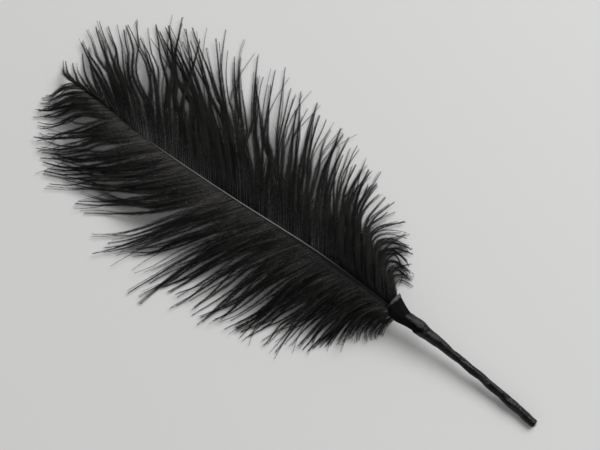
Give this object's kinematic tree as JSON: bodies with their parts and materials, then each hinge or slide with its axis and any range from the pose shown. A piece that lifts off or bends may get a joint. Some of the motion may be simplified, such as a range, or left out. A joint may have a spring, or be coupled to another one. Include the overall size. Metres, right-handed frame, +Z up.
{
  "type": "ostrich feather",
  "caption": "Black dyed ostrich plume lying flat, with long drooping barbs, a flared tape collar and a tape-wound stem.",
  "frame": {"origin": "on the surface that the plume lies on, under the middle of its outline seen from above", "axes": "+X along the feather towards the cut end of its stem, +Y towards the row of barbs that is on the right when looking from the stem to the tip with the plume's arch upwards, +Z up from the surface"},
  "size_m": [0.4108, 0.1822, 0.022],
  "materials": {
    "quill": "black dyed keratin, satin, with a pale cut end",
    "barbs": "black dyed feather fibre, soft and slightly glossy along each barb",
    "collar_tape": "matte black waxed tape, stretched smooth",
    "stem_tape": "black waxed tape, wound in a spiral, satin on its ridges"
  },
  "bodies": {
    "root": {"shaft": "quill", "barbs_right": "barbs", "barbs_left": "barbs", "collar_tape": "collar_tape", "stem_tape": "stem_tape"}
  },
  "joints": []
}
